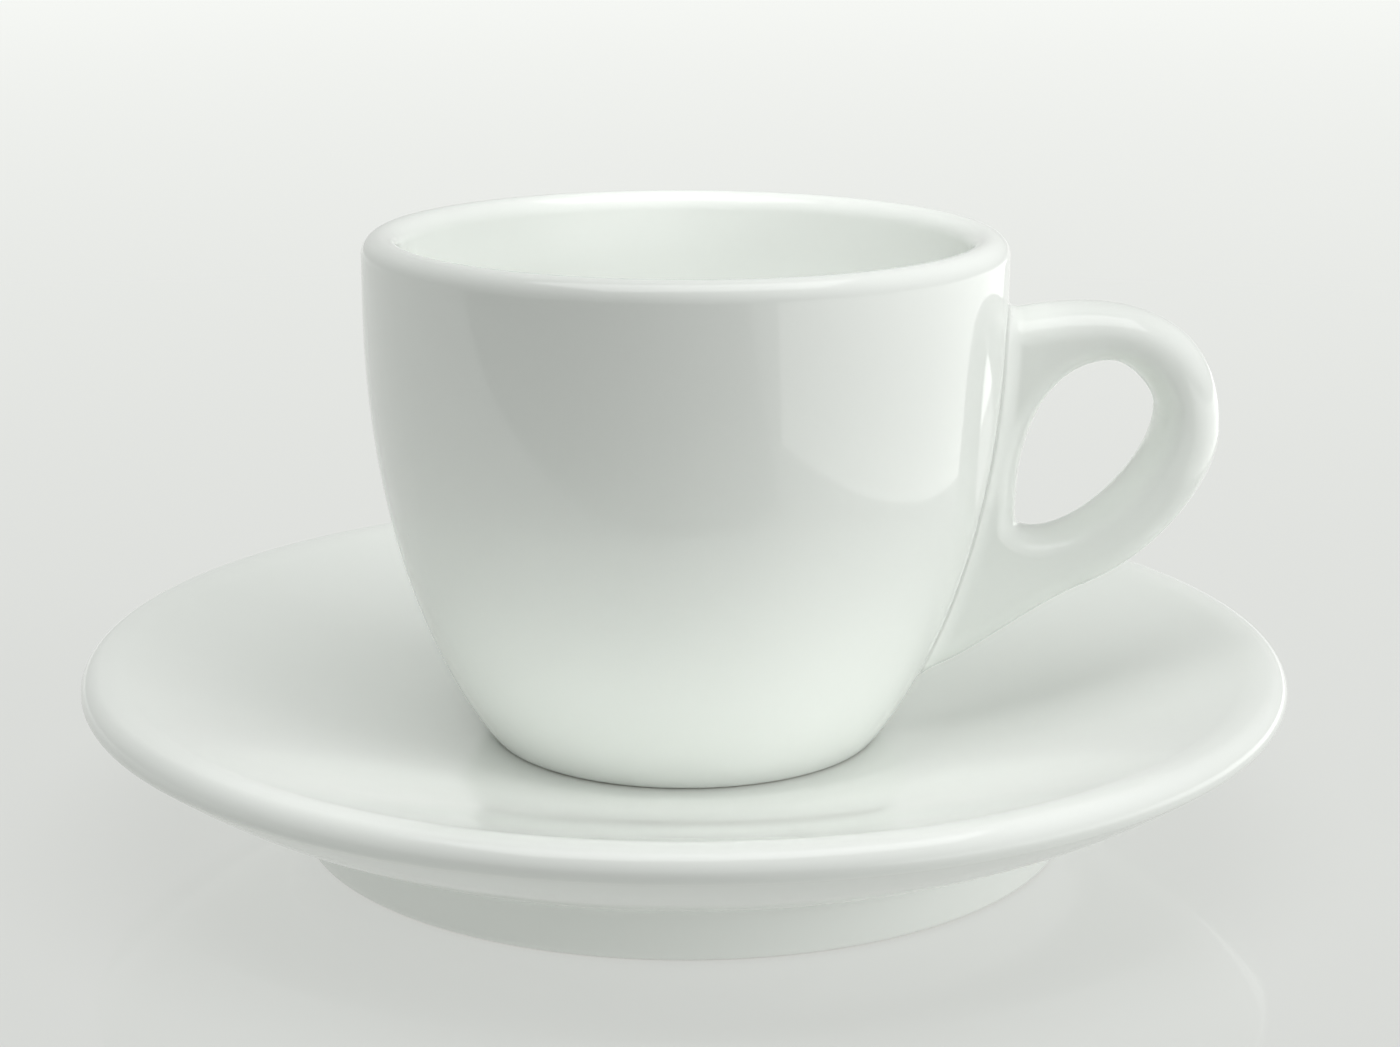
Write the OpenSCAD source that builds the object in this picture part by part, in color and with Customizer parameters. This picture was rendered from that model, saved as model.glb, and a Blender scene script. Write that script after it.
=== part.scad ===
/* [Saucer] */
// Diameter of the saucer across its widest line
saucer_d = 120; // [112:1:140]
// Height of the rim's crown above the table
saucer_h = 18.5; // [17:0.5:22]
// Upper radius of the rim's edge
edge_top_r = 1.8; // [1.4:0.1:2.2]
// Lower radius of the rim's edge
edge_low_r = 1.2; // [0.8:0.1:1.6]
// Radius of the gently crowned band inside the rim's edge
band_r = 8.6; // [6:0.2:10]
// Angle of the dish where it meets the rim's band
dish_slope = 19; // [16:0.5:21]
// Radius of the flat floor that the cup stands on
well_r = 22.5; // [21.5:0.5:25]
// Height of that floor above the table
well_h = 9.4; // [8.8:0.1:10.4]
// Angle of the underside where it meets the rim's edge
edge_slope = 38; // [34:1:42]
// Radius of the curve of the underside
under_r = 56; // [50:1:70]
// Outer diameter of the saucer's foot ring on the table
saucer_foot_d = 77.4; // [70:0.2:82]
// Outward lean of the foot ring's outer wall
saucer_foot_lean = 12; // [4:1:18]
// Width of the foot ring on the table
saucer_foot_t = 3.2; // [2.6:0.1:4.5]
// Depth of the hollow inside the foot ring
saucer_hollow = 4.4; // [3:0.1:5]
// Radius of the foot ring's lower edges
saucer_foot_round = 0.8; // [0.4:0.1:1.2]
// Radius of the fillets at the foot ring's root
saucer_fillet = 1.6; // [0.8:0.1:2]

/* [Cup] */
// Diameter of the cup across its upright wall
cup_d = 63.2; // [58:0.2:70]
// Height of the cup from its foot to its lip
cup_h = 50.8; // [48:0.2:60]
// Thickness of the rounded lip
lip_t = 3.8; // [3:0.1:4.4]
// Thickness of the wall just above the foot
wall_low_t = 4.4; // [3.6:0.1:5]
// Depth below the lip at which the wall turns upright
upright_drop = 6.8; // [5.8:0.2:8.8]
// Height of the point that draws the belly outwards
belly_h = 13.7; // [11:0.1:17]
// Outer diameter of the cup's foot
cup_foot_d = 39.3; // [37:0.1:41]
// Radius of the foot's outer edge
cup_foot_round = 0.9; // [0.5:0.1:1.2]
// Width of the foot ring that stands on the saucer
cup_foot_t = 2.6; // [2:0.1:4]
// Depth of the hollow inside the cup's foot ring
cup_hollow = 1.6; // [1:0.1:2.4]
// Thickness of the cup's floor above that hollow
floor_t = 4.6; // [3.6:0.1:6]
// Radius of the fillet inside the cup's foot ring
cup_fillet = 0.9; // [0.5:0.1:1.3]

/* [Handle] */
// Reach of the handle from the cup's axis
handle_reach = 53; // [50:0.5:60]
// Depth of the handle's crest below the lip
handle_drop = 7; // [5.8:0.2:9.8]
// Height of the handle's lower tip above the cup's foot
handle_low = 5.8; // [5:0.2:8]
// Width of the handle at its crest
handle_w = 9.8; // [8:0.2:12]
// Width of the handle at its lower tip
handle_low_w = 8.2; // [7:0.2:10]
// Depth of the rounding on the handle's outer face
outer_round = 3.2; // [1.8:0.1:3.4]
// Depth of the rounding inside the finger hole
hole_round = 2.4; // [1.2:0.1:2.5]
// Radius of the fillet where the handle meets the cup
root_fillet = 1.5; // [0.8:0.1:2]
// Gap between the handle's seat and the wall, filled by slip when the handle is stuck on
slip_gap = 0.02; // [0.01:0.01:0.05]

/* [Hidden] */
$fn = 96;

// Porcelain, a little cooler than pure white
glaze = [0.95, 0.965, 0.955];

// Counts of segments along each kind of curve
curve_n = 26;
arc_n = 8;
corner_n = 4;

// Derived sizes of the saucer
saucer_r = saucer_d / 2;
saucer_foot_r = saucer_foot_d / 2;
edge_h = saucer_h - edge_top_r;
crown_r = saucer_r - edge_top_r;
band_end = [crown_r - band_r * sin(dish_slope), saucer_h - band_r * (1 - cos(dish_slope))];

// Derived sizes of the cup
cup_r = cup_d / 2;
cup_foot_r = cup_foot_d / 2;
lip_r = lip_t / 2;
upright_h = cup_h - upright_drop;
belly_lean = atan((cup_r - cup_foot_r) / belly_h);
foot_mid = [cup_foot_r - cup_foot_round * cos(belly_lean), cup_foot_round];
belly_start = foot_mid + cup_foot_round * [cos(belly_lean), -sin(belly_lean)];
floor_top = cup_hollow + floor_t;
// Share of the belly's curve, counted from the foot, at which the inside turns into the floor
knee_share = 0.28;

// Curves
function unit(v) = v / norm(v);
function mix(a, b, t) = a + (b - a) * t;
function across(v) = [-v.y, v.x];
function cubic(p, t) =
    p[0] * pow(1 - t, 3) + p[1] * 3 * t * pow(1 - t, 2) + p[2] * 3 * pow(t, 2) * (1 - t) + p[3] * pow(t, 3);
function cubic_dir(p, t) =
    unit((p[1] - p[0]) * pow(1 - t, 2) + (p[2] - p[1]) * 2 * t * (1 - t) + (p[3] - p[2]) * pow(t, 2));
function curve(p, n) = [for (i = [0:n]) cubic(p, i / n)];
function arc(mid, r, from, to, n) =
    [for (i = [0:n]) mid + r * [cos(mix(from, to, i / n)), sin(mix(from, to, i / n))]];
function bend(a, b, c, n) =
    [for (i = [0:n]) mix(mix(a, b, i / n), mix(b, c, i / n), i / n)];
function corner(before, tip, after, r) =
    bend(tip + r * unit(before - tip), tip, tip + r * unit(after - tip), corner_n);

// Saucer
function underside_angle(r) = asin((r - underside_mid.x) / under_r);
edge_low = [saucer_r - edge_low_r, edge_h] + edge_low_r * [sin(edge_slope), -cos(edge_slope)];
underside_mid = edge_low + under_r * [-sin(edge_slope), cos(edge_slope)];
function underside(r) = underside_mid + under_r * [sin(underside_angle(r)), -cos(underside_angle(r))];
root_guess = underside(saucer_foot_r);
foot_root = underside(saucer_foot_r + root_guess.y * tan(saucer_foot_lean));

function saucer_outline() =
    let (
        land_out = [saucer_foot_r, 0],
        land_in = [saucer_foot_r - saucer_foot_t, 0],
        hollow_top = land_in + saucer_hollow * [-tan(saucer_foot_lean), 1],
        after_root = underside(foot_root.x + saucer_fillet),
        dish_turn = [band_end.x - (band_end.y - well_h) / tan(dish_slope), well_h]
    )
    concat(
        [[0, saucer_hollow]],
        corner([0, saucer_hollow], hollow_top, land_in, saucer_fillet),
        corner(hollow_top, land_in, land_out, saucer_foot_round),
        corner(land_in, land_out, foot_root, saucer_foot_round),
        bend(foot_root + saucer_fillet * unit(land_out - foot_root), foot_root, after_root, corner_n),
        [for (i = [1:arc_n]) underside(mix(after_root.x, edge_low.x, i / arc_n))],
        arc([saucer_r - edge_low_r, edge_h], edge_low_r, edge_slope - 90, 0, corner_n),
        arc([crown_r, edge_h], edge_top_r, 0, 90, arc_n),
        arc([crown_r, saucer_h - band_r], band_r, 90, 90 + dish_slope, corner_n),
        bend(band_end, dish_turn, [well_r, well_h], curve_n),
        [[0, well_h]]
    );

module saucer() {
    color(glaze)
    rotate_extrude()
    polygon(saucer_outline());
}

// Cup
belly = [belly_start, belly_start, [cup_r, belly_h], [cup_r, upright_h]];
lip_h = cup_h - lip_r;

// Outline of the outside of the bowl, from the foot to the widest part of the lip
bowl_side = concat(curve(belly, curve_n), [[cup_r, lip_h]]);
side_table = [for (p = bowl_side) [p.y, p.x]];

// Radius of the outside of the bowl at a height above its foot
function wall_r(h) = lookup(h, side_table);

function inner_wall(t) =
    cubic(belly, t) + across(cubic_dir(belly, t)) * mix(wall_low_t, lip_t, t);

function bowl_foot() =
    let (
        land_in = [foot_mid.x - cup_foot_t, 0],
        hollow_top = [land_in.x, cup_hollow]
    )
    concat(
        [[0, cup_hollow]],
        corner([0, cup_hollow], hollow_top, land_in, cup_fillet),
        [land_in],
        arc(foot_mid, cup_foot_round, -90, -belly_lean, corner_n)
    );

function bowl_inside() =
    let (
        knee = inner_wall(knee_share),
        drop = cubic_dir(belly, knee_share),
        turn = knee - drop * (knee.y - floor_top) / drop.y
    )
    concat(
        [for (i = [0:curve_n]) inner_wall(mix(1, knee_share, i / curve_n))],
        bend(knee, turn, turn - [norm(turn - knee), 0], arc_n),
        [[0, floor_top]]
    );

module cup_bowl() {
    color(glaze)
    translate([0, 0, well_h])
    rotate_extrude()
    polygon(concat(
        bowl_foot(),
        bowl_side,
        arc([cup_r - lip_r, lip_h], lip_r, 0, 180, arc_n),
        bowl_inside()
    ));
}

// Handle
handle_top = cup_h - handle_drop;
handle_h = handle_top - handle_low;

// A place in the handle's plane, by its share of the overhang beyond the wall and of the handle's height
function handle_at(share) =
    let (h = mix(handle_low, handle_top, share.y))
    [mix(wall_r(h), handle_reach, share.x), h];

// The outer outline runs from the upper root over the crest and down to the lower tip
outer_shares = [
    [[0, 0.978], [0.243, 1.015], [1, 1.07], [1, 0.666]],
    [[1, 0.666], [1, 0.544], [0.803, 0.342], [0.506, 0.254]],
    [[0.506, 0.254], [0.28, 0.182], [0.142, 0.024], [0, 0.01]]
];

// The finger hole: its topmost, outermost, lowest and innermost points
hole_shares = [[0.487, 0.852], [0.71, 0.722], [0.256, 0.399], [0.142, 0.496]];
// Pull of the curve before and after each of those points, as shares of the handle's height
pull_shares = [[0.152, 0.045], [0.053, 0.142], [0.118, 0.073], [0.048, 0.179]];
// Direction in which the hole's outline runs at each of those points
hole_dirs = [[1, 0], [0, -1], [-1, 0], [0, 1]];

outer_curves = [for (seg = outer_shares) [for (share = seg) handle_at(share)]];
hole_curves = [
    for (k = [0:3])
        let (m = (k + 1) % 4, from = handle_at(hole_shares[k]), to = handle_at(hole_shares[m]))
        [
            from,
            from + hole_dirs[k] * pull_shares[k][1] * handle_h,
            to - hole_dirs[m] * pull_shares[m][0] * handle_h,
            to
        ]
];

// Shares of the handle's height between which its back is seated on the wall, clear of the rounded ends
back_shares = [0.12, 0.87];

// Fillet of the outline between the wall and the crest, up to this share of the outline's first curve
crest_share = 0.1;
// Its rise above that curve's own start, and the pull at its two ends, as shares of the root fillet
root_lift_share = 0.8;
root_pull_share = 0.55;
// Slope at which it leaves the wall, so that it has no feather edge
root_steepness = 3;
root_curve =
    let (
        to = cubic(outer_curves[0], crest_share),
        dir = cubic_dir(outer_curves[0], crest_share),
        h = outer_curves[0][0].y + root_lift_share * root_fillet,
        from = [wall_r(h), h],
        pull = root_pull_share * root_fillet
    )
    [from, from + pull * unit([1, -root_steepness]), to - pull * dir, to];

// Point and outward direction of the outer outline, from 0 at the upper root to 3 at the lower tip
function outer_point(v) =
    v < crest_share ? cubic(root_curve, v / crest_share)
    : cubic(outer_curves[min(floor(v), 2)], v - min(floor(v), 2));
function outer_normal(v) =
    v < crest_share ? outer_normal(crest_share)
    : across(cubic_dir(outer_curves[min(floor(v), 2)], v - min(floor(v), 2)));
function hole_point(u) = cubic(hole_curves[floor(u) % 4], u - floor(u));
function hole_normal(u) = -across(cubic_dir(hole_curves[floor(u) % 4], u - floor(u)));

// Matching places on the hole's outline and on the outer outline, and the sections up to the next pair
matches = [
    [3.6, 0, 6], [3.68, 0.1, 6], [3.8, 0.26, 6], [3.9, 0.37, 5], [4.1, 0.46, 10],
    [5, 1, 12], [5.4, 1.6, 10], [5.7, 2, 12], [5.95, 2.5, 10], [6.2, 3, 0]
];
// Matching places on the hole's outline and along the back that is seated on the wall
back_matches = [[6.25, 0, 6], [6.6, 0.3, 8], [7, 0.6, 10], [7.57, 1, 1]];
function between(list) = [
    for (k = [0:len(list) - 1])
        let (from = list[k], to = list[min(k + 1, len(list) - 1)])
        for (i = [0:max(from[2], 1) - 1])
            mix([from[0], from[1]], [to[0], to[1]], i / max(from[2], 1))
];

// Lean of the outside of the bowl at a height, and distance of a point of the handle from it
slope_step_share = 0.01;
slope_step = slope_step_share * cup_h;
function wall_lean(h) = atan((wall_r(h + slope_step) - wall_r(h - slope_step)) / (2 * slope_step));
function wall_gap(p, y) = (norm([p.x, y]) - wall_r(p.y)) * cos(wall_lean(p.y));

// Growth of the section towards the wall: a fillet that stops short of running out into a feather edge
steep_share = 0.2;
function fillet_curve(gap) = root_fillet - sqrt(pow(root_fillet, 2) - pow(root_fillet - gap, 2));
function growth(gap) =
    let (
        steep = steep_share * root_fillet,
        rate = (1 - steep_share) / sqrt(1 - pow(1 - steep_share, 2))
    )
    gap >= root_fillet ? 0
    : gap >= steep ? fillet_curve(gap)
    : fillet_curve(steep) + (steep - max(gap, -steep)) * rate;

// Share of that growth at a height: the fillet fades towards the lower tip
fade_share = 0.25;
tip_share = 0.3;
function fade(h) = min(1, max(tip_share, (h - handle_low) / (fade_share * handle_h)));

// Rounded ends of the section: squareness of the rounding and its steps from the side to the middle
squareness = 2.1;
// Largest share of the thickness between the hole and the outer outline that the two roundings take
round_share = 0.92;
end_angles = [0, 15, 30, 45, 60, 75, 90];
end_n = len(end_angles);
function end_depth(a) = 1 - pow(sin(a), 2 / squareness);
function end_width(a) = pow(cos(a), 2 / squareness);

// Rows of the side face where it nears the wall, as shares of the stretch that they cover
near_shares = [0.8, 0.6, 0.42, 0.26, 0.12];
side_n = len(near_shares);
// Longest such stretch, in root fillets
near_reach = 1.8;

function half_width(h) = mix(handle_low_w, handle_w, (h - handle_low) / handle_h) / 2;

// The point of the seat on the wall at a height and a distance from the handle's middle plane
function seat(y, h) = [sqrt(pow(wall_r(h) + slip_gap, 2) - pow(y, 2)), y, h];
function side_y(p) = half_width(p.y) + fade(p.y) * growth(wall_gap(p, half_width(p.y)));
function row(p, width_share) =
    let (y = width_share * side_y(p))
    norm([p.x, y]) < wall_r(p.y) + slip_gap ? seat(y, p.y) : [p.x, y, p.y];
function seat_y(h) = half_width(h) + fade(h) * growth(0);
function hole_rows(u, depth) = [
    for (k = [end_n - 1:-1:0])
        row(hole_point(u) - hole_normal(u) * depth * end_depth(end_angles[k]), end_width(end_angles[k]))
];

// Place on the outer outline from which its rounding turns, from square to the outline to along the wall
turn_from = 2.3;
function into_dir(v) =
    let (lean = wall_lean(outer_point(v).y))
    unit(mix(-outer_normal(v), [sin(lean), cos(lean)], max(0, v - turn_from) / (3 - turn_from)));

// Half of a section of the loop, from the middle of the hole's face to the middle of the outer face
function loop_section(u, v) =
    let (
        out = outer_point(v),
        fit = min(1, round_share * norm(out - hole_point(u)) / (outer_round + hole_round)),
        into = into_dir(v) * fit * outer_round,
        from = hole_point(u) - hole_normal(u) * fit * hole_round,
        at_wall = v == 0 || v == 3,
        outer_rows = [for (a = end_angles)
            let (p = out + into * end_depth(a))
            at_wall ? seat(seat_y(p.y) * end_width(a), p.y) : row(p, end_width(a))],
        to = [outer_rows[0].x, outer_rows[0].z]
    )
    concat(
        hole_rows(u, fit * hole_round),
        [for (k = [1:side_n]) row(mix(from, to, k / (side_n + 1)), 1)],
        outer_rows
    );

// Half of a section that ends on the wall, at a share of the seated back
function seated_section(u, v) =
    let (
        h = handle_low + handle_h * mix(back_shares[0], back_shares[1], v),
        wall = [wall_r(h), h],
        from = hole_point(u) - hole_normal(u) * hole_round,
        reach = min(1, near_reach * root_fillet / norm(from - wall)),
        start = mix(wall, from, reach)
    )
    concat(
        hole_rows(u, hole_round),
        [for (share = near_shares) row(mix(wall, start, share), 1)],
        [for (k = [0:end_n - 1]) seat(seat_y(h) * (1 - k / (end_n - 1)), h)]
    );

// The whole section: one half, and the mirrored other half without the two shared middle rows
function section(half) =
    concat(half, [for (k = [len(half) - 2:-1:1]) [half[k].x, -half[k].y, half[k].z]]);

module handle_ring() {
    rings = concat(
        [for (s = between(matches)) section(loop_section(s[0], s[1]))],
        [for (s = between(back_matches)) section(seated_section(s[0], s[1]))]
    );
    m = len(rings);
    n = len(rings[0]);
    polyhedron(
        points = [for (ring = rings) each ring],
        faces = [
            for (i = [0:m - 1])
                for (k = [0:n - 1])
                    let (
                        a = i * n + k,
                        b = i * n + (k + 1) % n,
                        c = ((i + 1) % m) * n + (k + 1) % n,
                        d = ((i + 1) % m) * n + k
                    )
                    each [[a, c, b], [a, d, c]]
        ]
    );
}

module cup_handle() {
    color(glaze)
    translate([0, 0, well_h])
    handle_ring();
}

cup_bowl();
cup_handle();
saucer();
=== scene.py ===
import math

import bpy
import numpy as np
from mathutils import Matrix, Vector


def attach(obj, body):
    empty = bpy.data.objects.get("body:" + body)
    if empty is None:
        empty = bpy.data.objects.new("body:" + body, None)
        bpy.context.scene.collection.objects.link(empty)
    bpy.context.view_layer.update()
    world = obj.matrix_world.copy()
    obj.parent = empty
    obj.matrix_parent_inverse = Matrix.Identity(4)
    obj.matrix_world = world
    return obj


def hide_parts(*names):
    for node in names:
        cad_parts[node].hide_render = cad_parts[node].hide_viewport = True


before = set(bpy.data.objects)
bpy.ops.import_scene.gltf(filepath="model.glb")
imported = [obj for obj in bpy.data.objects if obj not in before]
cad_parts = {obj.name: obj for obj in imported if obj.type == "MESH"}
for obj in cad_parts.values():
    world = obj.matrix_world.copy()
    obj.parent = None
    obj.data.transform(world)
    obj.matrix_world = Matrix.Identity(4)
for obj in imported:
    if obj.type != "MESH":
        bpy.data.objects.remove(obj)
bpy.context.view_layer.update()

# An espresso cup on its saucer. Its outlines and fields are in millimetres, the scene in metres.
MM = 0.001

# Sizes of the object, as the CAD has them
WELL_H = 9.4
SAUCER_R = 60.0
SAUCER_H = 18.5
EDGE_TOP_R = 1.8
EDGE_LOW_R = 1.2
BAND_R = 8.6
DISH_SLOPE = math.radians(19)
WELL_R = 22.5
EDGE_SLOPE = math.radians(38)
UNDER_R = 56.0
FOOT_R = 38.7
FOOT_LEAN = math.radians(12)
FOOT_T = 3.2
HOLLOW = 4.4
FOOT_ROUND = 0.8
FOOT_FILLET = 1.6

CUP_R = 31.6
CUP_H = 50.8
LIP_T = 3.8
WALL_LOW_T = 4.4
UPRIGHT_H = 44.0
BELLY_H = 13.7
CUP_FOOT_R = 19.65
CUP_FOOT_ROUND = 0.9
CUP_FOOT_T = 2.6
CUP_HOLLOW = 1.6
FLOOR_T = 4.6
CUP_FILLET = 0.9
KNEE_SHARE = 0.28

HANDLE_REACH = 53.0
HANDLE_TOP = 43.8
HANDLE_LOW = 5.8
HANDLE_W = 9.8
HANDLE_LOW_W = 8.2
OUTER_ROUND = 3.2
HOLE_ROUND = 2.4
SQUARENESS = 2.1
ROOT_FILLET = 1.75

# The handle's seat in the wall: how far under the surface its fillet runs out, how deep the
# seat goes, how far short of the fillet's edge it ends, and the gap over which its normals
# turn into the wall's
WALL_LAP = 0.07
WALL_DEPTH = 0.95
SEAT_TRIM = 0.01
NORMAL_BLEND = 0.35

# Where the loop is thin, the share of it that its two rounded ends may take up, and the least
# share that is left of their radius; and how far past its ends its width goes on changing
ROUND_FILL = 0.92
ROUND_LEAST = 0.5
OVERRUN = 0.2

# Bare land under each foot: the heights over which the glaze fades in, and how far inside the
# foot's ring the land reaches
CUP_BARE = 0.02, 0.3
CUP_BARE_IN = 0.4
SAUCER_BARE = 0.02, 0.35
SAUCER_BARE_IN = 0.6

# Steps along the curves and around the axis
CORNER_N = 8
UNDER_N = 32
EDGE_LOW_N = 10
EDGE_TOP_N = 16
BAND_N = 12
DISH_N = 64
CUP_FOOT_N = 10
BELLY_N = 80
LIP_N = 32
INNER_N = 64
KNEE_N = 24
SIDE_N = 400
SAUCER_AROUND = 288
CUP_AROUND = 240

# The box that holds the handle, and the cells of its mesh
HANDLE_BOX = (21.0, -7.0, 3.5), (54.0, 7.0, 46.0)
CELL = 0.3


# Curves in a plane, as arrays of points
def vec(x, y):
    return np.array([x, y], float)


def unit(v):
    return v / np.linalg.norm(v)


def mix(a, b, t):
    return a + (b - a) * t


def cubic(p, t):
    t = np.asarray(t)[..., None]
    u = 1 - t
    return p[0] * u**3 + p[1] * 3 * t * u**2 + p[2] * 3 * t * t * u + p[3] * t**3


def cubic_rate(p, t):
    t = np.asarray(t)[..., None]
    u = 1 - t
    return 3 * ((p[1] - p[0]) * u**2 + (p[2] - p[1]) * 2 * t * u + (p[3] - p[2]) * t * t)


def arc(mid, r, start, stop, n):
    a = np.linspace(start, stop, n + 1)
    return mid + r * np.stack([np.cos(a), np.sin(a)], 1)


def bend(a, b, c, n):
    t = np.linspace(0, 1, n + 1)[:, None]
    return mix(mix(a, b, t), mix(b, c, t), t)


def corner(before, tip, after, r):
    return bend(tip + r * unit(before - tip), tip, tip + r * unit(after - tip), CORNER_N)


# Outline of the saucer's half section
def saucer_outline():
    edge_h = SAUCER_H - EDGE_TOP_R
    crown_r = SAUCER_R - EDGE_TOP_R
    low_mid = vec(SAUCER_R - EDGE_LOW_R, edge_h)
    edge_low = low_mid + EDGE_LOW_R * vec(math.sin(EDGE_SLOPE), -math.cos(EDGE_SLOPE))
    under_mid = edge_low + UNDER_R * vec(-math.sin(EDGE_SLOPE), math.cos(EDGE_SLOPE))

    def under(r):
        a = np.arcsin((r - under_mid[0]) / UNDER_R)
        return under_mid + UNDER_R * np.stack([np.sin(a), -np.cos(a)], -1)

    root = under(FOOT_R + under(FOOT_R)[1] * math.tan(FOOT_LEAN))
    land_out, land_in = vec(FOOT_R, 0), vec(FOOT_R - FOOT_T, 0)
    hollow_top = land_in + HOLLOW * vec(-math.tan(FOOT_LEAN), 1)
    after = under(root[0] + FOOT_FILLET)
    band_mid = vec(crown_r, SAUCER_H - BAND_R)
    band_end = band_mid + BAND_R * vec(-math.sin(DISH_SLOPE), math.cos(DISH_SLOPE))
    turn = vec(band_end[0] - (band_end[1] - WELL_H) / math.tan(DISH_SLOPE), WELL_H)
    return np.vstack([
        [vec(0, HOLLOW)],
        corner(vec(0, HOLLOW), hollow_top, land_in, FOOT_FILLET),
        corner(hollow_top, land_in, land_out, FOOT_ROUND),
        corner(land_in, land_out, root, FOOT_ROUND),
        bend(root + FOOT_FILLET * unit(land_out - root), root, after, CORNER_N),
        under(np.linspace(after[0], edge_low[0], UNDER_N))[1:],
        arc(low_mid, EDGE_LOW_R, EDGE_SLOPE - math.pi / 2, 0, EDGE_LOW_N)[1:],
        arc(vec(crown_r, edge_h), EDGE_TOP_R, 0, math.pi / 2, EDGE_TOP_N)[1:],
        arc(band_mid, BAND_R, math.pi / 2, math.pi / 2 + DISH_SLOPE, BAND_N)[1:],
        bend(band_end, turn, vec(WELL_R, WELL_H), DISH_N)[1:],
        [vec(0, WELL_H)],
    ])


# Outline of the bowl's half section, above the cup's own foot
BELLY_LEAN = math.atan((CUP_R - CUP_FOOT_R) / BELLY_H)
FOOT_MID = vec(CUP_FOOT_R - CUP_FOOT_ROUND * math.cos(BELLY_LEAN), CUP_FOOT_ROUND)
BELLY_START = FOOT_MID + CUP_FOOT_ROUND * vec(math.cos(BELLY_LEAN), -math.sin(BELLY_LEAN))
BELLY = [BELLY_START, BELLY_START, vec(CUP_R, BELLY_H), vec(CUP_R, UPRIGHT_H)]
LIP_R = LIP_T / 2
LIP_H = CUP_H - LIP_R


def inner_wall(t):
    rate = cubic_rate(BELLY, t)
    side = np.stack([-rate[..., 1], rate[..., 0]], -1) / np.linalg.norm(rate, axis=-1)[..., None]
    return cubic(BELLY, t) + side * mix(WALL_LOW_T, LIP_T, np.asarray(t))[..., None]


def bowl_outline():
    land_in = vec(FOOT_MID[0] - CUP_FOOT_T, 0)
    hollow_top = vec(land_in[0], CUP_HOLLOW)
    knee = inner_wall(KNEE_SHARE)
    drop = unit(cubic_rate(BELLY, KNEE_SHARE))
    floor_top = CUP_HOLLOW + FLOOR_T
    turn = knee - drop * (knee[1] - floor_top) / drop[1]
    return np.vstack([
        [vec(0, CUP_HOLLOW)],
        corner(vec(0, CUP_HOLLOW), hollow_top, land_in, CUP_FILLET),
        corner(hollow_top, land_in, vec(CUP_FOOT_R, 0), CUP_FOOT_ROUND / 3),
        arc(FOOT_MID, CUP_FOOT_ROUND, -math.pi / 2, -BELLY_LEAN, CUP_FOOT_N),
        cubic(BELLY, np.linspace(0, 1, BELLY_N + 1))[1:],
        arc(vec(CUP_R - LIP_R, LIP_H), LIP_R, 0, math.pi, LIP_N),
        inner_wall(np.linspace(1, KNEE_SHARE, INNER_N)),
        bend(knee, turn, turn - vec(np.linalg.norm(turn - knee), 0), KNEE_N)[1:],
        [vec(0, floor_top)],
    ]) + vec(0, WELL_H)


# The handle, as a field that is negative inside and near the surface about the distance to it.
# SIDE is the wall's outer line, as radius and height over the cup's foot.
SIDE = np.vstack([cubic(BELLY, np.linspace(0, 1, SIDE_N)), [vec(CUP_R, CUP_H)]])


def wall_r(h):
    return np.interp(h, SIDE[:, 1], SIDE[:, 0])


def wall_gap(p):
    h = p[:, 2]
    step = 0.1
    lean = np.arctan((wall_r(h + step) - wall_r(h - step)) / (2 * step))
    return (np.hypot(p[:, 0], p[:, 1]) - wall_r(h)) * np.cos(lean)


def handle_at(share):
    h = mix(HANDLE_LOW, HANDLE_TOP, share[1])
    return vec(mix(wall_r(h), HANDLE_REACH, share[0]), h)


OUTER_SHARES = [
    [(0, 0.978), (0.243, 1.015), (1, 1.07), (1, 0.666)],
    [(1, 0.666), (1, 0.544), (0.803, 0.342), (0.506, 0.254)],
    [(0.506, 0.254), (0.28, 0.182), (0.142, 0.024), (0, 0.01)],
]
HOLE_SHARES = [(0.487, 0.852), (0.71, 0.722), (0.256, 0.399), (0.142, 0.496)]
PULL_SHARES = [(0.152, 0.045), (0.053, 0.142), (0.118, 0.073), (0.048, 0.179)]
HOLE_DIRS = [vec(1, 0), vec(0, -1), vec(-1, 0), vec(0, 1)]
HANDLE_H = HANDLE_TOP - HANDLE_LOW
SUNK = 6.0


def outer_curves():
    run = [[handle_at(s) for s in seg] for seg in OUTER_SHARES]
    start, stop = run[0][0], run[-1][3]
    back = unit(run[0][1] - start) * SUNK / 3
    on = unit(stop - run[-1][2]) * SUNK / 3
    lead = [start - back * (3 - k) for k in range(4)]
    tail = [stop + on * k for k in range(4)]
    return [lead] + run + [tail]


def hole_curves():
    out = []
    for k in range(4):
        m = (k + 1) % 4
        a, b = handle_at(HOLE_SHARES[k]), handle_at(HOLE_SHARES[m])
        out.append([
            a,
            a + HOLE_DIRS[k] * PULL_SHARES[k][1] * HANDLE_H,
            b - HOLE_DIRS[m] * PULL_SHARES[m][0] * HANDLE_H,
            b,
        ])
    return out


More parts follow.
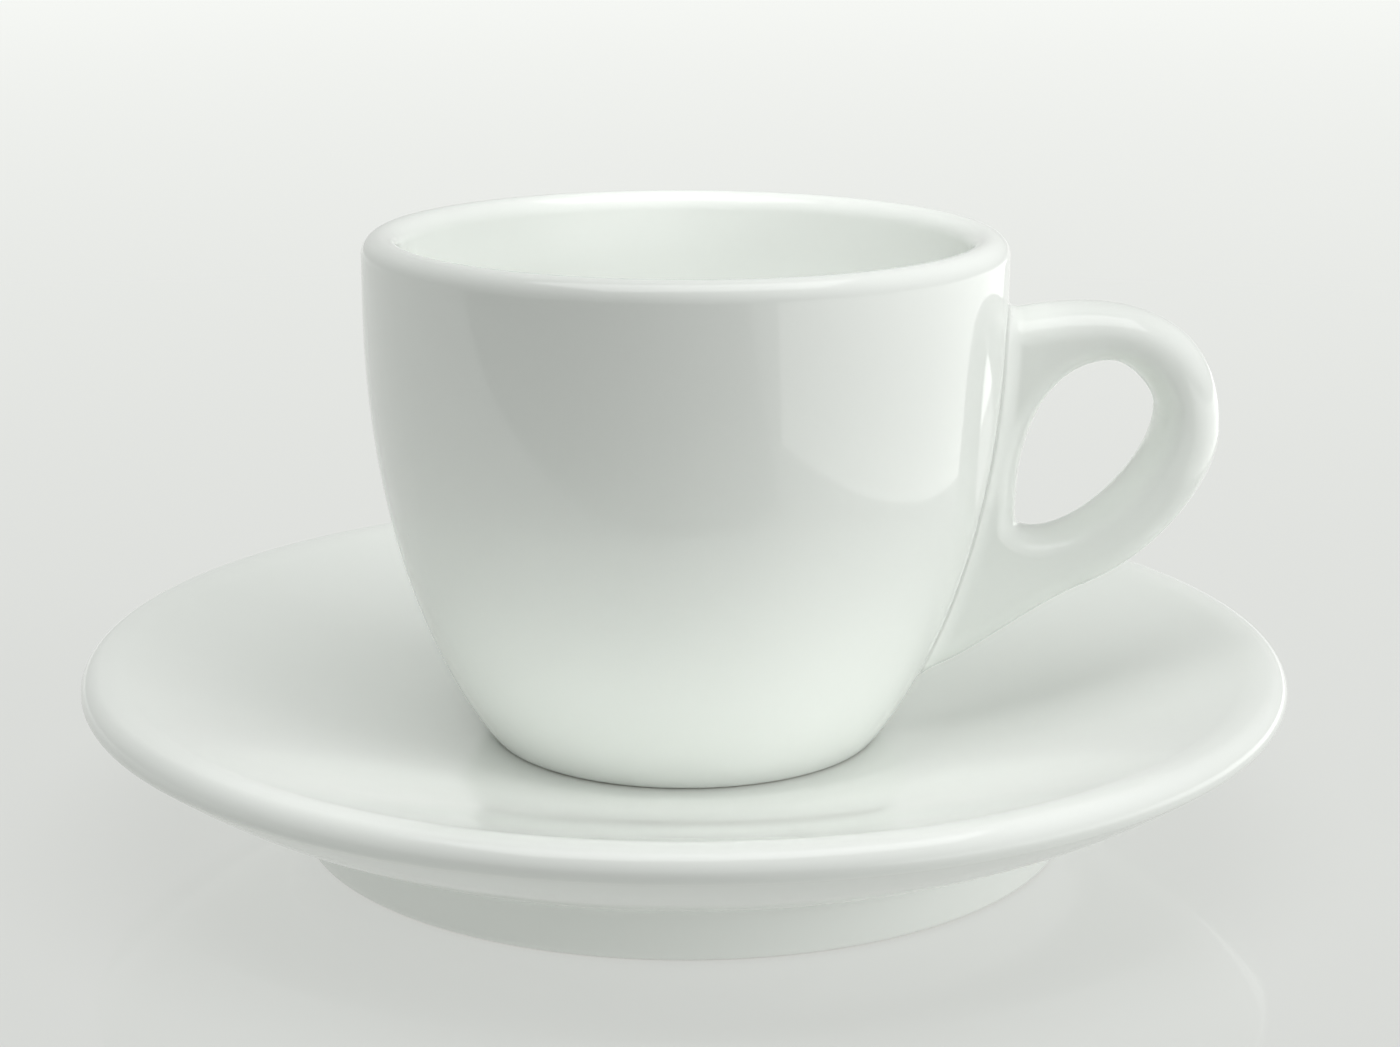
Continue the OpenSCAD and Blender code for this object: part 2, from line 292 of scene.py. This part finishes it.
class Outline:
    """Signed distance to a chain of cubic curves that runs clockwise: positive on its right."""

    def __init__(self, curves, samples=40):
        curves = [np.array(c) for c in curves]
        t = np.arange(samples + 1) / samples
        self.seg = np.repeat(np.arange(len(curves)), samples + 1)
        self.t = np.tile(t, len(curves))
        self.points = np.vstack([cubic(c, t) for c in curves])
        self.ctl = np.stack(curves)

    def distance(self, q):
        near = np.empty(len(q), int)
        batch = 20000
        for lo in range(0, len(q), batch):
            part = q[lo:lo + batch]
            dx = part[:, None, 0] - self.points[None, :, 0]
            dy = part[:, None, 1] - self.points[None, :, 1]
            near[lo:lo + batch] = (dx**2 + dy**2).argmin(1)
        p = self.ctl[self.seg[near]].transpose(1, 0, 2)
        t = self.t[near]
        for _ in range(3):
            e = cubic(p, t) - q
            rate = cubic_rate(p, t)
            t = np.clip(t - (e * rate).sum(1) / (rate * rate).sum(1), 0, 1)
        e = q - cubic(p, t)
        rate = cubic_rate(p, t)
        side = (e[:, 0] * rate[:, 1] - e[:, 1] * rate[:, 0]) >= 0
        return np.where(side, 1, -1) * np.hypot(e[:, 0], e[:, 1])


OUTER = Outline(outer_curves())
HOLE = Outline(hole_curves())


def handle_only(p):
    q = p[:, [0, 2]]
    inside_outer = OUTER.distance(q)
    outside_hole = -HOLE.distance(q)
    up = np.clip((q[:, 1] - HANDLE_LOW) / HANDLE_H, -OVERRUN, 1 + OVERRUN)
    half = mix(HANDLE_LOW_W, HANDLE_W, up) / 2
    room = (inside_outer + outside_hole) / (OUTER_ROUND + HOLE_ROUND)
    fit = np.clip(ROUND_FILL * room, ROUND_LEAST, 1)
    a = np.maximum(1 - inside_outer / (OUTER_ROUND * fit), 0)
    b = np.maximum(1 - outside_hole / (HOLE_ROUND * fit), 0)
    c = np.abs(p[:, 1]) / half
    f = (a**SQUARENESS + b**SQUARENESS + c**SQUARENESS) ** (1 / SQUARENESS) - 1
    ends = np.maximum(a, b)
    size = mix(half, np.where(a > b, OUTER_ROUND, HOLE_ROUND), ends / (ends + c + 1e-9))
    return f * size


def gradient(field, p, step=0.01):
    f = field(p)
    g = np.stack([field(p + step * e) - f for e in np.eye(3)], 1) / step
    return f, g


def handle_on_wall(p):
    """The handle and the bowl's wall as one body, with the root fillet between them."""
    a = handle_only(p)
    b = wall_gap(p) + WALL_LAP
    fillet = np.hypot(np.maximum(ROOT_FILLET - a, 0), np.maximum(ROOT_FILLET - b, 0))
    return np.maximum(ROOT_FILLET, np.minimum(a, b)) - fillet


def handle_field(p):
    """The handle with its root fillet, cut off a little way inside the bowl's wall."""
    seat = np.maximum(handle_only(p) - ROOT_FILLET + SEAT_TRIM, -(wall_gap(p) + WALL_DEPTH))
    return np.maximum(handle_on_wall(p), seat)


def seam_normals(p, own):
    """Normals that turn into the wall's where the fillet runs out, so that no seam shows."""
    gap, wall = gradient(wall_gap, p)
    t = np.clip(gap / NORMAL_BLEND, 0, 1)[:, None]
    n = mix(wall, own, t * t * (3 - 2 * t))
    return n / np.linalg.norm(n, axis=1)[:, None]


def join_corners(f):
    """Fills in a corner of the grid where two inside ones face each other across a square.

    Without it the mesh would pinch there, with four faces at one edge.
    """
    filled = -0.001
    for _ in range(4):
        for axis in range(3):
            a, b = [k for k in range(3) if k != axis]

            def part(s, t):
                area = [slice(None)] * 3
                for k, start in ((a, s), (b, t)):
                    area[k] = slice(start, f.shape[k] - 1 + start)
                return f[tuple(area)]

            for s in (0, 1):
                across = (part(s, 0) < 0) & (part(1 - s, 1) < 0)
                empty = (part(1 - s, 0) >= 0) & (part(s, 1) >= 0)
                part(1 - s, 0)[across & empty] = filled


def skin(field, low, high, cell, rounds=4):
    """A closed quad mesh of a field's zero surface.

    Each cell that the surface crosses has one point, at the mean of its edges' crossings. The
    points are then evened out and drawn onto the surface, in a few rounds.
    """
    even_out, least_slope = 0.5, 0.05
    n = [int(math.ceil((b - a) / cell)) + 1 for a, b in zip(low, high)]
    axes = [a + cell * np.arange(k) for a, k in zip(low, n)]
    grid = np.stack(np.meshgrid(*axes, indexing="ij"), -1)
    f = field(grid.reshape(-1, 3)).reshape(n)
    join_corners(f)
    inside = f < 0
    cells = tuple(k - 1 for k in n)
    total, count = np.zeros(cells + (3,)), np.zeros(cells)
    quads = []
    for axis in range(3):
        other = [k for k in range(3) if k != axis]
        lo = [slice(None)] * 3
        hi = [slice(None)] * 3
        lo[axis], hi[axis] = slice(0, -1), slice(1, None)
        fa, fb = f[tuple(lo)], f[tuple(hi)]
        cross = (fa < 0) != (fb < 0)
        idx = np.argwhere(cross)
        share = (fa / np.where(cross, fa - fb, 1))[cross]
        at = grid[tuple(idx.T)].copy()
        at[:, axis] += share * cell
        corners = []
        for s, t in ((0, 0), (-1, 0), (-1, -1), (0, -1)):
            c = idx.copy()
            c[:, other[0]] += s
            c[:, other[1]] += t
            corners.append(c)
        for c in corners:
            np.add.at(total, tuple(c.T), at)
            np.add.at(count, tuple(c.T), 1)
        flat = np.stack([np.ravel_multi_index(tuple(c.T), cells) for c in corners], 1)
        leaves = inside[tuple(lo)][cross]
        if axis == 1:
            leaves = ~leaves
        quads.append(np.where(leaves[:, None], flat, flat[:, ::-1]))
    quads = np.vstack(quads)
    used = np.unique(quads)
    number = np.zeros(int(np.prod(cells)), int)
    number[used] = np.arange(len(used))
    quads = number[quads]
    p = total.reshape(-1, 3)[used] / count.reshape(-1)[used][:, None]
    for k in range(rounds):
        around, times = np.zeros_like(p), np.zeros(len(p))
        for a, b in ((0, 1), (1, 2), (2, 3), (3, 0)):
            np.add.at(around, quads[:, a], p[quads[:, b]])
            np.add.at(around, quads[:, b], p[quads[:, a]])
            np.add.at(times, quads[:, a], 1)
            np.add.at(times, quads[:, b], 1)
        p = mix(p, around / times[:, None], even_out)
        for _ in range(2 if k == rounds - 1 else 1):
            v, g = gradient(field, p)
            move = v[:, None] * g / np.maximum((g * g).sum(1), least_slope)[:, None]
            length = np.linalg.norm(move, axis=1)[:, None]
            p -= move * np.minimum(1, cell / np.maximum(length, 1e-9))
    return p, quads


# Meshes
def add_piece(name, verts, faces, body, nodes, material, sharp=35):
    """A visible piece; edges that turn by more than sharp, in degrees, stay crisp."""
    mesh = bpy.data.meshes.new(name)
    points = [tuple(v) for v in np.asarray(verts) * MM]
    mesh.from_pydata(points, [], [tuple(int(i) for i in f) for f in faces])
    mesh.validate()
    mesh.shade_smooth()
    mesh.set_sharp_from_angle(angle=math.radians(sharp))
    mesh.materials.append(material)
    piece = bpy.data.objects.new(name, mesh)
    bpy.context.scene.collection.objects.link(piece)
    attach(piece, body)
    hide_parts(*nodes)
    return piece


def revolve(outline, around):
    """A closed solid turned from an outline whose two ends lie on the axis."""
    a = 2 * math.pi * np.arange(around) / around
    r, h = outline[1:-1].T
    n = len(r)
    poles = [[(0, 0, outline[0][1])], [(0, 0, outline[-1][1])]]
    rings = [np.stack([r * math.cos(x), r * math.sin(x), h], 1) for x in a]
    verts = np.vstack(poles + rings)
    faces = []
    for i in range(around):
        p, q = 2 + i * n, 2 + (i + 1) % around * n
        faces += [(p + k, q + k, q + k + 1, p + k + 1) for k in range(n - 1)]
        faces.append((0, q, p))
        faces.append((1, p + n - 1, q + n - 1))
    return verts, faces


# Materials
GLAZE_TINTS = (0.914, 0.94, 0.908, 1), (0.924, 0.948, 0.918, 1)
GLAZE_ROUGH = 0.045, 0.095
GLAZE_IOR = 1.52
BISCUIT_TINTS = (0.66, 0.64, 0.6, 1), (0.76, 0.74, 0.7, 1)
BISCUIT_ROUGH = 0.72


def node(tree, kind, **values):
    n = tree.nodes.new(kind)
    for key, value in values.items():
        setattr(n, key, value)
    return n


def noise(tree, where, scale, detail):
    n = node(tree, "ShaderNodeTexNoise")
    n.inputs["Scale"].default_value = scale
    n.inputs["Detail"].default_value = detail
    tree.links.new(where, n.inputs["Vector"])
    return n.outputs["Fac"]


def bump(tree, height, strength, distance):
    n = node(tree, "ShaderNodeBump")
    n.inputs["Strength"].default_value = strength
    n.inputs["Distance"].default_value = distance
    tree.links.new(height, n.inputs["Height"])
    return n


def bare_land(tree, where, low_h, high_h, land_r):
    """1 on the bare ring under a foot, fading out between two heights, and 0 elsewhere."""
    link = tree.links.new
    place = node(tree, "ShaderNodeSeparateXYZ")
    link(where, place.inputs["Vector"])
    flat = node(tree, "ShaderNodeVectorMath", operation="MULTIPLY")
    flat.inputs[1].default_value = (1, 1, 0)
    link(where, flat.inputs[0])
    radius = node(tree, "ShaderNodeVectorMath", operation="LENGTH")
    link(flat.outputs[0], radius.inputs[0])
    low = node(tree, "ShaderNodeMapRange", interpolation_type="SMOOTHSTEP")
    low.inputs["From Min"].default_value = high_h * MM
    low.inputs["From Max"].default_value = low_h * MM
    link(place.outputs["Z"], low.inputs["Value"])
    outer = node(tree, "ShaderNodeMath", operation="GREATER_THAN")
    outer.inputs[1].default_value = land_r * MM
    link(radius.outputs["Value"], outer.inputs[0])
    bare = node(tree, "ShaderNodeMath", operation="MULTIPLY")
    link(low.outputs["Result"], bare.inputs[0])
    link(outer.outputs["Value"], bare.inputs[1])
    return bare.outputs["Value"]


def porcelain(name, stand_h, bare, land_r):
    """Clear glaze over white porcelain, with a bare ring where it stood in the kiln.

    The glaze has a faint cloud in its colour, smears in its gloss, slight waves and pinholes.
    """
    mat = bpy.data.materials.new(name)
    mat.use_nodes = True
    t = mat.node_tree
    link = t.links.new
    bsdf = t.nodes["Principled BSDF"]
    bsdf.inputs["IOR"].default_value = GLAZE_IOR
    where = node(t, "ShaderNodeTexCoord").outputs["Object"]
    bare = bare_land(t, where, stand_h + bare[0], stand_h + bare[1], land_r)

    tint = node(t, "ShaderNodeValToRGB")
    for stop, at, shade in zip(tint.color_ramp.elements, (0.3, 0.7), GLAZE_TINTS):
        stop.position = at
        stop.color = shade
    link(noise(t, where, scale=38, detail=4), tint.inputs["Fac"])
    biscuit = node(t, "ShaderNodeMix", data_type="RGBA")
    biscuit.inputs["A"].default_value, biscuit.inputs["B"].default_value = BISCUIT_TINTS
    link(noise(t, where, scale=2600, detail=3), biscuit.inputs["Factor"])
    colour = node(t, "ShaderNodeMix", data_type="RGBA")
    link(bare, colour.inputs["Factor"])
    link(tint.outputs["Color"], colour.inputs["A"])
    link(biscuit.outputs["Result"], colour.inputs["B"])
    link(colour.outputs["Result"], bsdf.inputs["Base Color"])

    gloss = node(t, "ShaderNodeMapRange")
    gloss.inputs["To Min"].default_value, gloss.inputs["To Max"].default_value = GLAZE_ROUGH
    link(noise(t, where, scale=90, detail=5), gloss.inputs["Value"])
    rough = node(t, "ShaderNodeMix", data_type="FLOAT")
    rough.inputs["B"].default_value = BISCUIT_ROUGH
    link(bare, rough.inputs["Factor"])
    link(gloss.outputs["Result"], rough.inputs["A"])
    link(rough.outputs["Result"], bsdf.inputs["Roughness"])

    waves = bump(t, noise(t, where, scale=120, detail=2), strength=0.35, distance=0.00004)
    holes = node(t, "ShaderNodeTexVoronoi")
    holes.inputs["Scale"].default_value = 150
    link(where, holes.inputs["Vector"])
    pit = node(t, "ShaderNodeMapRange", interpolation_type="SMOOTHSTEP")
    pit.inputs["From Max"].default_value = 0.03
    link(holes.outputs["Distance"], pit.inputs["Value"])
    pinholes = bump(t, pit.outputs["Result"], strength=0.25, distance=0.00006)
    link(waves.outputs["Normal"], pinholes.inputs["Normal"])
    link(pinholes.outputs["Normal"], bsdf.inputs["Normal"])
    return mat


def build():
    cup_land_r = FOOT_MID[0] - CUP_FOOT_T - CUP_BARE_IN
    saucer_land_r = FOOT_R - FOOT_T - SAUCER_BARE_IN
    cup_glaze = porcelain("cup_porcelain", WELL_H, CUP_BARE, cup_land_r)
    saucer_glaze = porcelain("saucer_porcelain", 0, SAUCER_BARE, saucer_land_r)

    verts, faces = revolve(saucer_outline(), SAUCER_AROUND)
    add_piece("saucer_plate", verts, faces, "saucer", ["saucer"], saucer_glaze)

    verts, faces = revolve(bowl_outline(), CUP_AROUND)
    add_piece("cup_bowl_glazed", verts, faces, "cup", ["cup_bowl"], cup_glaze)

    verts, faces = skin(handle_field, *HANDLE_BOX, CELL)
    on_bowl = verts.copy()
    verts[:, 2] += WELL_H
    handle = add_piece(
        "cup_handle_glazed", verts, faces, "cup", ["cup_handle"], cup_glaze, sharp=180
    )
    own = np.array([v.vector[:] for v in handle.data.vertex_normals])
    normals = seam_normals(on_bowl, own)
    handle.data.normals_split_custom_set_from_vertices([tuple(n) for n in normals])


# Floor, backdrop and light, in metres and watts
FLOOR_TINT = (0.24, 0.245, 0.238)
FLOOR_GLOW = (0.985, 1, 0.97)
FLOOR_HALF = 1.6
GREY_TINT = (0.16, 0.163, 0.158)
PALE_GLOW = (0.97, 0.985, 0.955)
WORLD_TINT = (0.96, 0.985, 0.955)
WORLD_LIGHT = 0.36
WORLD_SEEN = 0.62
CARD_H = 0.0006
SPOT_R = 0.008


def stage_mesh(name, verts, material):
    mesh = bpy.data.meshes.new(name)
    mesh.from_pydata(verts, [], [tuple(range(len(verts)))])
    mesh.materials.append(material)
    obj = bpy.data.objects.new(name, mesh)
    bpy.context.scene.collection.objects.link(obj)
    return obj


def card(name, corners, material):
    """A card close over the floor, hidden from the camera, for the glaze to mirror."""
    obj = stage_mesh(name, [(x, y, CARD_H) for x, y in corners], material)
    obj.visible_camera = False
    obj.visible_shadow = False
    return obj


def plain(name, colour, roughness):
    mat = bpy.data.materials.new(name)
    mat.use_nodes = True
    bsdf = mat.node_tree.nodes["Principled BSDF"]
    bsdf.inputs["Base Color"].default_value = (*colour, 1)
    bsdf.inputs["Roughness"].default_value = roughness
    return mat


def one_sided(tree, shader):
    """Clear from below, so that the floor under a card doesn't mirror it."""
    side = node(tree, "ShaderNodeNewGeometry")
    clear = node(tree, "ShaderNodeBsdfTransparent")
    pick = node(tree, "ShaderNodeMixShader")
    tree.links.new(side.outputs["Backfacing"], pick.inputs["Fac"])
    tree.links.new(shader, pick.inputs[1])
    tree.links.new(clear.outputs["BSDF"], pick.inputs[2])
    tree.links.new(pick.outputs["Shader"], tree.nodes["Material Output"].inputs["Surface"])


def glowing(name, colour, strength):
    mat = bpy.data.materials.new(name)
    mat.use_nodes = True
    t = mat.node_tree
    t.nodes.remove(t.nodes["Principled BSDF"])
    glow = node(t, "ShaderNodeEmission")
    glow.inputs["Color"].default_value = (*colour, 1)
    glow.inputs["Strength"].default_value = strength
    one_sided(t, glow.outputs["Emission"])
    return mat


def stage():
    floor = plain("floor_white", FLOOR_TINT, roughness=0.03)
    glow = floor.node_tree.nodes["Principled BSDF"].inputs
    glow["Emission Color"].default_value = (*FLOOR_GLOW, 1)
    glow["Emission Strength"].default_value = 0.44
    f = FLOOR_HALF
    stage_mesh("floor", [(-f, -f, 0), (f, -f, 0), (f, f, 0), (-f, f, 0)], floor)

    # Grey in front, for the shade on the cup's belly; bright at the right, for its lit side
    grey = plain("card_grey", GREY_TINT, roughness=0.5)
    one_sided(grey.node_tree, grey.node_tree.nodes["Principled BSDF"].outputs["BSDF"])
    card("front_card", [(-0.6, -0.9), (0.33, -0.9), (0.05, -0.085), (-0.6, -0.085)], grey)
    side = card(
        "side_card",
        [(0.076, -0.129), (0.41, -0.7), (0.9, -0.7), (0.9, 0.6), (0.30, 0.6), (0.11, 0.02)],
        glowing("side_glow", PALE_GLOW, 1.9),
    )
    far = card(
        "far_card",
        [(0.11, 0.02), (0.30, 0.6), (0.30, 1.5), (0.06, 1.5), (0.06, 0.09)],
        glowing("far_glow", PALE_GLOW, 0.95),
    )
    for bright in (side, far):
        bright.visible_diffuse = False
    stage_mesh(
        "back_wall",
        [(-2.5, f, -0.01), (2.5, f, -0.01), (2.5, f, 1.3), (-2.5, f, 1.3)],
        glowing("back_glow", PALE_GLOW, 0.66),
    )


def surroundings():
    """A pale world, which the camera and mirrored rays see a little brighter than it lights."""
    world = bpy.data.worlds.new("world")
    bpy.context.scene.world = world
    world.use_nodes = True
    t = world.node_tree
    bg = t.nodes["Background"]
    bg.inputs["Color"].default_value = (*WORLD_TINT, 1)
    ray = node(t, "ShaderNodeLightPath")
    seen = node(t, "ShaderNodeMath", operation="MAXIMUM")
    t.links.new(ray.outputs["Is Camera Ray"], seen.inputs[0])
    t.links.new(ray.outputs["Is Glossy Ray"], seen.inputs[1])
    level = node(t, "ShaderNodeMapRange")
    level.inputs["To Min"].default_value = WORLD_LIGHT
    level.inputs["To Max"].default_value = WORLD_SEEN
    t.links.new(seen.outputs["Value"], level.inputs["Value"])
    t.links.new(level.outputs["Result"], bg.inputs["Strength"])


def hang(name, data, place, aim, watts, mirrored):
    data.energy = watts
    obj = bpy.data.objects.new(name, data)
    bpy.context.scene.collection.objects.link(obj)
    obj.location = place
    obj.rotation_euler = (Vector(aim) - Vector(place)).to_track_quat("-Z", "Y").to_euler()
    obj.visible_glossy = mirrored


def soft_lamp(name, place, aim, size, watts, mirrored=True):
    data = bpy.data.lights.new(name, "AREA")
    data.shape = "RECTANGLE"
    data.size, data.size_y = size
    hang(name, data, place, aim, watts, mirrored)


def spot(name, place, aim, angle, blend, watts):
    """A narrow lamp that lifts one place and isn't mirrored in the glaze."""
    data = bpy.data.lights.new(name, "SPOT")
    data.spot_size = math.radians(angle)
    data.spot_blend = blend
    data.shadow_soft_size = SPOT_R
    hang(name, data, place, aim, watts, mirrored=False)


def light():
    soft_lamp("top_soft", (0.03, -0.12, 0.95), (0, 0, 0.03), size=(1.1, 0.7), watts=4.2)
    soft_lamp("back_soft", (0, 0.5, 0.8), (0, 0, 0.03), size=(0.8, 0.4), watts=0.15)
    for name, x, y, aim_y in (
        ("dish_spot_left", -0.024, -0.1875, -0.033),
        ("dish_spot", 0, -0.193, -0.0385),
        ("dish_spot_right", 0.024, -0.1875, -0.033),
    ):
        spot(name, (x, y, 0.485), (x, aim_y, 0.0097), angle=4.8, blend=1, watts=2.4)
    for name, x in (("foot_spot_left", -0.016), ("foot_spot_right", 0.016)):
        spot(name, (x, -0.41, 0.262), (x, -0.024, 0.012), angle=6, blend=1, watts=0.5)
    spot("inside_spot", (0, -0.30, 0.35), (0.012, 0.022, 0.055), angle=9.2, blend=0.8, watts=2.5)
    soft_lamp(
        "right_soft", (0.92, -0.22, 0.28), (0, 0, 0.05), size=(0.9, 0.2), watts=3.4, mirrored=False
    )


# Camera, as recovered from the photograph
CAMERA_AT = (0.0, -265.0, 99.03)
FOCAL_PX = 2725.9
IMAGE_W = 1400
YAW, PITCH, ROLL = 0.00564, 0.25267, 0.00334


def camera():
    level = math.cos(PITCH)
    ahead = Vector((math.sin(YAW) * level, math.cos(YAW) * level, -math.sin(PITCH)))
    right = Vector((math.cos(YAW), -math.sin(YAW), 0))
    up = right.cross(ahead)
    right, up = (
        math.cos(ROLL) * right + math.sin(ROLL) * up,
        -math.sin(ROLL) * right + math.cos(ROLL) * up,
    )
    data = bpy.data.cameras.new("camera")
    data.sensor_width = 36
    data.lens = FOCAL_PX / IMAGE_W * data.sensor_width
    data.clip_start = 0.01
    obj = bpy.data.objects.new("camera", data)
    bpy.context.scene.collection.objects.link(obj)
    turn = Matrix((right, up, -ahead)).transposed().to_4x4()
    obj.matrix_world = Matrix.Translation(Vector(CAMERA_AT) * MM) @ turn
    bpy.context.scene.camera = obj


camera()
build()
stage()
surroundings()
light()
bpy.context.scene.view_settings.view_transform = "Standard"
